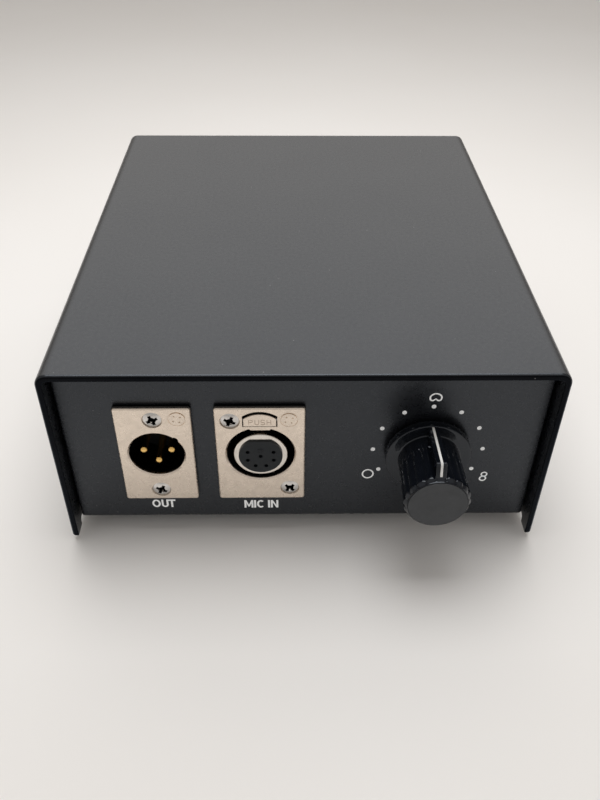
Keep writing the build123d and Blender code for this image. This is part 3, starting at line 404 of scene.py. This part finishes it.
# Name, socket, mm from the socket's middle out to the word's left edge, mm from the socket's
# foot down to the word's foot, and each letter with its place and width in mm.
LEGENDS = (
    ("legend_out", "out_socket_shell", 3.97, 5.5,
     (("O", 0.0, 2.62), ("U", 2.9, 2.14), ("T", 4.97, 2.3))),
    ("legend_mic_in", "mic_socket_shell", 5.68, 6.0,
     (("M", 0.0, 2.8), ("I", 3.03, STEM), ("C", 3.87, 2.36), ("I", 7.36, STEM),
      ("N", 8.24, 2.34))),
)

# The knob's scale; all in mm from the middle of the scale, or of one symbol.
SCALE_X, SCALE_Z = 0.30, 0.35       # the scale's middle, from the switch shaft's
DOTS, DOT_STEP = 9, 30.0            # how many dots, and the degrees from one to the next
DOT_RING = 16.24                    # radius of the ring of dots
DOT_RX, DOT_RZ = 0.66, 0.70         # half width and half height of a dot
SYMBOL_STEM = 0.45 * MM             # width of the symbols' strokes, in metres
OMNI = (-17.15, -10.1, 1.6, 1.7)    # circle: x, z, half width, half height
EIGHT = ((18.3, -10.55, 0.83), (18.1, -12.3, 0.92))     # figure of eight: x, z, radius
HEART_X = 0.2
HEART_LOBE = (0.9, 19.15, 0.68, 0.72, 225, 350, 10)     # the right lobe's inner curve
HEART_SIDE = (0.0, 19.4, 1.62, 1.5, 0, 84, 12)          # the right side's outer curve
HEART_DIP, HEART_TOP = 19.05, 20.9


def glyph_shapes(letter, width):
    """Filled outlines and stroked paths of one capital, in mm from its lower left corner."""
    h, w, s = CAP, width, STEM
    mid = s / 2
    outlines, strokes = [], []
    if letter == "I":
        outlines.append([(0, 0), (0, h), (w, h), (w, 0)])
    if letter == "T":
        outlines.append([(0, h), (w, h), (w, h - s), (w / 2 + mid, h - s), (w / 2 + mid, 0),
                         (w / 2 - mid, 0), (w / 2 - mid, h - s), (0, h - s)])
    if letter == "N":
        outlines.append([(0, 0), (0, h), (s, h), (w - s, 1.1), (w - s, h), (w, h), (w, 0),
                         (w - s, 0), (s, h - 1.1), (s, 0)])
    if letter == "M":
        outlines.append([(0, 0), (0, h), (s, h), (w / 2, 1.3), (w - s, h), (w, h), (w, 0),
                         (w - s, 0), (w - s, 2.0), (w / 2 + 0.22, 0.5), (w / 2 - 0.22, 0.5),
                         (s, 2.0), (s, 0)])
    if letter == "U":
        radius = w / 2 - mid
        path = [(mid, h)] + arc(w / 2, radius + mid, radius, radius, 180, 360) + [(w - mid, h)]
        strokes.append((path, False))
    if letter == "O":
        strokes.append((arc(w / 2, h / 2, w / 2 - mid, h / 2 - mid, 0, 345, 23), True))
    if letter == "C":
        strokes.append((arc(w / 2 + 0.1, h / 2, w / 2 - mid + 0.05, h / 2 - mid, 48, 312), False))
    return outlines, strokes


def print_word(name, letters, left, low, material, panel_y):
    """letters is a list of (letter, x from the word's left edge, width) in mm."""
    bm = bmesh.new()
    for letter, offset, width in letters:
        outlines, strokes = glyph_shapes(letter, width)
        for outline in outlines:
            placed = moved(outline, left + offset * MM, low)
            front_prism(bm, placed, panel_y - INK, panel_y + INK)
        for path, closed in strokes:
            placed = moved(path, left + offset * MM, low)
            front_ribbon(bm, placed, STEM * MM, panel_y - INK, panel_y + INK, closed)
    return mesh_object(name, bm, material, "chassis")


def make_legends(material):
    """The word printed under each socket."""
    panel_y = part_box("chassis_tray")[0].y
    for name, socket, reach, drop, letters in LEGENDS:
        low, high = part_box(socket)
        left = (low.x + high.x) / 2 - reach * MM
        print_word(name, letters, left, low.z - drop * MM, material, panel_y)


def make_scale(material):
    """Nine dots round the knob with the three pickup-pattern symbols beside them."""
    panel_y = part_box("chassis_tray")[0].y
    hub_low, hub_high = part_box("switch_shaft")
    x = (hub_low.x + hub_high.x) / 2 + SCALE_X * MM
    z = (hub_low.z + hub_high.z) / 2 + SCALE_Z * MM
    bm = bmesh.new()
    for i in range(DOTS):
        angle = math.radians(DOT_STEP * (i - DOTS // 2))
        cx = x + DOT_RING * MM * math.sin(angle)
        cz = z + DOT_RING * MM * math.cos(angle)
        dot = arc(cx, cz, DOT_RX * MM, DOT_RZ * MM, 0, 345, 23)
        front_prism(bm, dot, panel_y - INK, panel_y + INK)
    mesh_object("scale_dots", bm, material, "chassis")

    cx, cz, rx, rz = OMNI
    bm = bmesh.new()
    ring = arc(x + cx * MM, z + cz * MM, rx * MM, rz * MM, 0, 350, 35)
    front_ribbon(bm, ring, SYMBOL_STEM, panel_y - INK, panel_y + INK, True)
    mesh_object("symbol_omni", bm, material, "chassis")

    right = arc(*HEART_LOBE) + arc(*HEART_SIDE)
    left = [(-px, pz) for px, pz in reversed(right)]
    heart = [(0.0, HEART_DIP)] + right + [(0.0, HEART_TOP)] + left
    bm = bmesh.new()
    placed = moved(heart, x + HEART_X * MM, z)
    front_ribbon(bm, placed, SYMBOL_STEM, panel_y - INK, panel_y + INK, True)
    mesh_object("symbol_cardioid", bm, material, "chassis")

    bm = bmesh.new()
    for cx, cz, radius in EIGHT:
        loop = arc(x + cx * MM, z + cz * MM, radius * MM, radius * 0.98 * MM, 0, 350, 35)
        front_ribbon(bm, loop, SYMBOL_STEM, panel_y - INK, panel_y + INK, True)
    mesh_object("symbol_eight", bm, material, "chassis")


# ---------------------------------------------------------------- latch and socket details

PUSH_W, PUSH_H = 1.1, 1.7           # a letter's width and height, mm
PUSH_STEM = 0.22 * MM               # width of its strokes
PUSH_DROP = 3.7 * MM                # from the latch's top down to the letters' feet
PUSH_SUNK, PUSH_PROUD = 0.05 * MM, 0.12 * MM

LEAF_T = 0.3 * MM                   # thickness of the latch's leaf spring

MARK_UP = 2.4 * MM                  # from the insert's middle up to its index mark
MARK_R = 0.8 * MM
MARK_T = 0.1 * MM                   # how far the mark stands out of the face, and goes in


def make_latch_word(material):
    """The word PUSH standing a hair proud of the latch's pad."""
    low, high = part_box("mic_latch")
    x = (low.x + high.x) / 2
    z = high.z - PUSH_DROP
    w, h = PUSH_W, PUSH_H
    letter_p = [(0, 0), (0, h), (0.6 * w, h), (w, 0.85 * h), (w, 0.65 * h), (0.6 * w, 0.48 * h),
                (0.1, 0.48 * h)]
    letter_u = [(0, h)] + arc(w / 2, w / 2, w / 2, w / 2, 180, 360, 12) + [(w, h)]
    letter_s = (arc(w / 2, 0.73 * h, w / 2, 0.27 * h, 20, 250, 10)
                + arc(w / 2, 0.24 * h, w / 2, 0.24 * h, 70, -160, 10))
    bars = [[(0, 0), (0, h)], [(w, 0), (w, h)], [(0.1, h / 2), (w - 0.1, h / 2)]]
    strokes = [(-2.58, letter_p), (-0.8, letter_u), (0.9, letter_s)]
    strokes += [(2.6, bar) for bar in bars]
    bm = bmesh.new()
    for centre, path in strokes:
        placed = moved(path, x + (centre - w / 2) * MM, z)
        front_ribbon(bm, placed, PUSH_STEM, low.y - PUSH_SUNK, low.y + PUSH_PROUD)
    mesh_object("latch_word", bm, material, "latch")


def make_latch_spring(material):
    """Bent leaf that pushes the latch's pad out, drawn in its resting shape."""
    low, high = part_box("mic_latch_spring")
    half = LEAF_T / 2
    path = [(high.y, high.z - half), (low.y + 2.6 * MM, high.z - half),
            (low.y + 2.2 * MM, high.z - 0.3 * MM), (low.y + 1.9 * MM, high.z - 0.8 * MM),
            (low.y + 1.2 * MM, low.z + 0.4 * MM), (low.y + 0.7 * MM, low.z + half),
            (low.y, low.z + half)]
    bm = bmesh.new()
    front_ribbon(bm, path, LEAF_T, low.x, high.x)
    for vert in bm.verts:
        vert.co.x, vert.co.y = vert.co.y, vert.co.x
    leaf = mesh_object("latch_leaf_spring", bm, material, "chassis")
    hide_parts("mic_latch_spring")
    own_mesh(leaf)


def make_insert_mark(material):
    """Moulded index ring on the face of the microphone socket's insert."""
    low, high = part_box("mic_socket_insert")
    x = (low.x + high.x) / 2
    z = (low.z + high.z) / 2 + MARK_UP
    front, back = low.y - MARK_T, low.y + MARK_T
    tick = moved([(-0.15, -0.2), (0.2, 0.3)], x, z)
    bm = bmesh.new()
    front_ribbon(bm, arc(x, z, MARK_R, MARK_R, -60, 240, 28), 0.22 * MM, front, back)
    front_ribbon(bm, tick, 0.2 * MM, front, back)
    mesh_object("insert_index_mark", bm, material, "chassis")


# ---------------------------------------------------------------- knob

FLUTES = 20
FLUTE_STEPS = 12           # columns of faces to a flute
FLUTE_ROUND = 0.10         # depth of a flute's broad hollow, mm
FLUTE_GROOVE = 0.30        # depth of the narrow groove down its middle
RIM_R = 12.5               # radius of the rim at the back of the knob, mm
RIM_T = 2.6                # its thickness
FIN_HALF = 1.45            # half the width of the pointer fin
FIN_BEVEL = 0.16
LINE_HALF = 0.33           # half the width of the white line along the fin
LINE_LIFT = 0.02           # how far the line stands out of the fin


def knob_rows(length, hub, bush):
    """(distance behind the face, radius, depth of flute 0..1) down the knob's skin, in mm."""
    skirt = length - RIM_T
    rows = [
        (0.7, 8.3, 0), (0.22, 8.3, 0), (0.2, 8.33, 0), (0.2, 8.37, 0), (0.22, 8.43, 0),
        (0.27, 8.475, 0), (0.34, 8.495, 0), (0.5, 8.505, 0), (0.54, 8.54, 0.1),
        (0.85, 8.86, 0.4), (1.17, 9.17, 0.8), (1.24, 9.24, 0.9), (1.34, 9.30, 0.97),
        (1.5, 9.34, 1.0),
    ]
    for i in range(1, 8):
        share = i / 7
        rows.append((1.5 + (skirt - 6.35) * share, 9.34 - 0.3 * share, 1.0))
    rows += [
        (skirt - 4.6, 9.02, 0.8), (skirt - 4.3, 9.01, 0.35), (skirt - 4.1, 9.0, 0.0),
        (skirt - 0.6, 8.9, 0), (skirt - 0.25, 8.98, 0), (skirt - 0.06, 9.15, 0),
        (skirt, 9.4, 0), (skirt, 10.4, 0), (skirt, 11.4, 0), (skirt, 12.15, 0),
        (skirt + 0.04, 12.32, 0), (skirt + 0.14, 12.44, 0), (skirt + 0.3, RIM_R, 0),
        (length - 0.15, RIM_R, 0), (length, RIM_R - 0.15, 0), (length, 9.0, 0),
        (hub, 9.0, 0), (hub, 4.8, 0), (bush, 4.8, 0),
    ]
    return rows


def make_knob(made):
    """The turned and fluted knob with its pointer fin, and the white line along the fin."""
    cap_low, cap_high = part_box("knob_cap")
    bush_low, bush_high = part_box("knob_bush")
    face = cap_low.y
    cx, cz = (cap_low.x + cap_high.x) / 2, (cap_low.z + cap_high.z) / 2
    length = (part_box("pattern_knob")[1].y - face) / MM
    rows = knob_rows(length, (bush_high.y - face) / MM, (bush_low.y - face) / MM)
    bm = bmesh.new()
    columns = FLUTES * FLUTE_STEPS
    rings = []
    for y, radius, flute in rows:
        ring = []
        for i in range(columns):
            angle = 2.0 * math.pi * i / columns
            dip = abs(math.sin(angle * FLUTES / 2))
            r = radius - flute * (FLUTE_ROUND * dip ** 2 + FLUTE_GROOVE * dip ** 8)
            ring.append(bm.verts.new((cx + r * MM * math.sin(angle), face + y * MM,
                                      cz + r * MM * math.cos(angle))))
        rings.append(ring)
    for ahead, behind in zip(rings, rings[1:]):
        for i in range(columns):
            j = (i + 1) % columns
            bm.faces.new((ahead[i], ahead[j], behind[j], behind[i]))
    bm.faces.new(rings[0])
    bm.faces.new(rings[-1])
    skirt = length - RIM_T
    top = (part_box("pattern_knob")[1].z - cz) / MM
    crest = [(skirt, 12.2), (2.8, top), (2.4, top - 0.4), (1.2, 9.2)]
    below = [(1.2, 8.5), (skirt + 0.6, 8.5), (skirt + 0.6, 12.15)]
    upright_plate(bm, crest + below, cx, face, cz, FIN_HALF, FIN_BEVEL)
    body = mesh_object("knob_body", bm, made["knob_gloss"], "knob", 50.0)
    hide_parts("pattern_knob")

    bm = bmesh.new()
    line = [(skirt, 12.2 + LINE_LIFT), (2.8, top + LINE_LIFT), (2.4 - LINE_LIFT, top - 0.4),
            (1.3 - LINE_LIFT, 9.5)]
    under = [(1.7, 9.4), (2.9, 12.2), (skirt, 11.9)]
    upright_plate(bm, line + under, cx, face, cz, LINE_HALF, 0.0)
    stripe = mesh_object("knob_line", bm, made["white_line"], "knob", 25.0)
    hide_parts("knob_pointer_line")


def upright_plate(bm, outline, cx, face, cz, half, bevel):
    """A plate standing in the knob's plane of symmetry; outline in (mm behind the face, radius)."""
    sides = []
    for x in (cx - half * MM, cx + half * MM):
        sides.append([bm.verts.new((x, face + y * MM, cz + r * MM)) for y, r in outline])
    faces = [bm.faces.new(sides[0]), bm.faces.new(list(reversed(sides[1])))]
    count = len(outline)
    for i in range(count):
        j = (i + 1) % count
        faces.append(bm.faces.new((sides[0][j], sides[0][i], sides[1][i], sides[1][j])))
    if bevel:
        edges = {edge for f in faces for edge in f.edges}
        bmesh.ops.bevel(bm, geom=list(edges), offset=bevel * MM, segments=3, profile=0.5,
                        affect="EDGES")


# ---------------------------------------------------------------- camera, stage, lights

CAMERA_TURN = (1.211, 39.17, 0.546)         # yaw, pitch and roll, degrees
CAMERA_PLACE = (-4.796, -166.10, 189.97)    # mm: x in the frame, y and z from the cover's foot
CAMERA_LENS, SENSOR = 35.56, 36.0           # mm
PAPER_HALF = 3.0                            # half the width of the paper sheet, m

SOFTBOX_PLACE, SOFTBOX_TARGET = (0.0, 0.07, 0.64), (0.0, 0.04, 0.0)
SOFTBOX_SIZE = (0.55, 0.44)    # m
SOFTBOX_WATTS = 1.12
SOFTBOX_SPREAD = 100.0         # degrees
ROOM = (0.25, 0.228, 0.208)    # radiance of the dim room at the sides and overhead
FRONT = (0.52, 0.505, 0.49)    # of the lighter room in front of the box
WALL = (2.1, 2.03, 1.95)       # of the wall behind it


def make_camera():
    """Pinhole camera in front of and above the box, at the place a person would hold it."""
    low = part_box("top_cover")[0]
    yaw, pitch, roll = (math.radians(angle) for angle in CAMERA_TURN)
    forward = Vector((math.sin(yaw) * math.cos(pitch), math.cos(yaw) * math.cos(pitch),
                      -math.sin(pitch)))
    level = Vector((math.cos(yaw), -math.sin(yaw), 0.0))
    upright = level.cross(forward)
    right = level * math.cos(roll) + upright * math.sin(roll)
    up = upright * math.cos(roll) - level * math.sin(roll)
    data = bpy.data.cameras.new("camera")
    data.sensor_fit = "AUTO"
    data.sensor_width = SENSOR
    data.lens = CAMERA_LENS
    data.clip_start = 0.01
    camera = bpy.data.objects.new("camera", data)
    bpy.context.scene.collection.objects.link(camera)
    turn = Matrix((right, up, -forward)).transposed()
    place = Vector((0.0, low.y, low.z)) + MM * Vector(CAMERA_PLACE)
    camera.matrix_world = Matrix.Translation(place) @ turn.to_4x4()
    bpy.context.scene.camera = camera


def make_floor():
    """A wide flat sheet of white paper."""
    bm = bmesh.new()
    bmesh.ops.create_grid(bm, x_segments=24, y_segments=24, size=PAPER_HALF)
    mesh = bpy.data.meshes.new("paper_floor")
    bm.to_mesh(mesh)
    bm.free()
    mesh.polygons.foreach_set("use_smooth", [True] * len(mesh.polygons))
    material, tree, shader = principled("paper", (0.84, 0.825, 0.805), 0.65)
    vary_color(tree, shader, object_noise(tree, 160.0, 2.0), (0.83, 0.812, 0.79),
               (0.85, 0.836, 0.818))
    add_bump(tree, shader, object_noise(tree, 1.2, 3.0), 0.01, 0.2)
    mesh.materials.append(material)
    floor = bpy.data.objects.new("paper_floor", mesh)
    bpy.context.scene.collection.objects.link(floor)


def make_softbox():
    """The one lamp, over the back of the box."""
    data = bpy.data.lights.new("overhead_softbox", "AREA")
    data.shape = "RECTANGLE"
    data.size, data.size_y = SOFTBOX_SIZE
    data.energy = SOFTBOX_WATTS
    data.spread = math.radians(SOFTBOX_SPREAD)
    light = bpy.data.objects.new("overhead_softbox", data)
    bpy.context.scene.collection.objects.link(light)
    place = Vector(SOFTBOX_PLACE)
    turn = (Vector(SOFTBOX_TARGET) - place).to_track_quat("-Z", "Y")
    light.matrix_world = Matrix.Translation(place) @ turn.to_matrix().to_4x4()


def times(tree, first, second):
    """Product of two values."""
    product = tree.nodes.new("ShaderNodeMath")
    product.operation = "MULTIPLY"
    tree.links.new(first, product.inputs[0])
    tree.links.new(second, product.inputs[1])
    return product.outputs["Value"]


def make_room():
    """A dim warm room with a broad bright wall behind the box."""
    world = bpy.data.worlds.new("room")
    world.use_nodes = True
    tree = world.node_tree
    coords = tree.nodes.new("ShaderNodeTexCoord")
    split = tree.nodes.new("ShaderNodeSeparateXYZ")
    tree.links.new(coords.outputs["Generated"], split.inputs["Vector"])
    rear = band(tree, split.outputs["Y"], 0.4, 0.8)
    above = band(tree, split.outputs["Z"], 0.04, 0.75)
    wall = times(tree, rear, above)
    front = band(tree, split.outputs["Y"], -0.1, -0.6)
    near = mixed(tree, front, ROOM, FRONT)
    background = tree.nodes["Background"]
    background.inputs["Strength"].default_value = 1.0
    tree.links.new(mixed(tree, wall, near, WALL), background.inputs["Color"])
    bpy.context.scene.world = world


materials = make_materials()
dress_cad_nodes(materials)
make_legends(materials["print"])
make_scale(materials["print"])
make_latch_word(materials["latch_letter_nickel"])
make_latch_spring(materials["spring_steel"])
make_insert_mark(materials["black_plastic"])
make_knob(materials)
make_camera()
make_floor()
make_softbox()
make_room()
bpy.context.scene.view_settings.view_transform = "Standard"
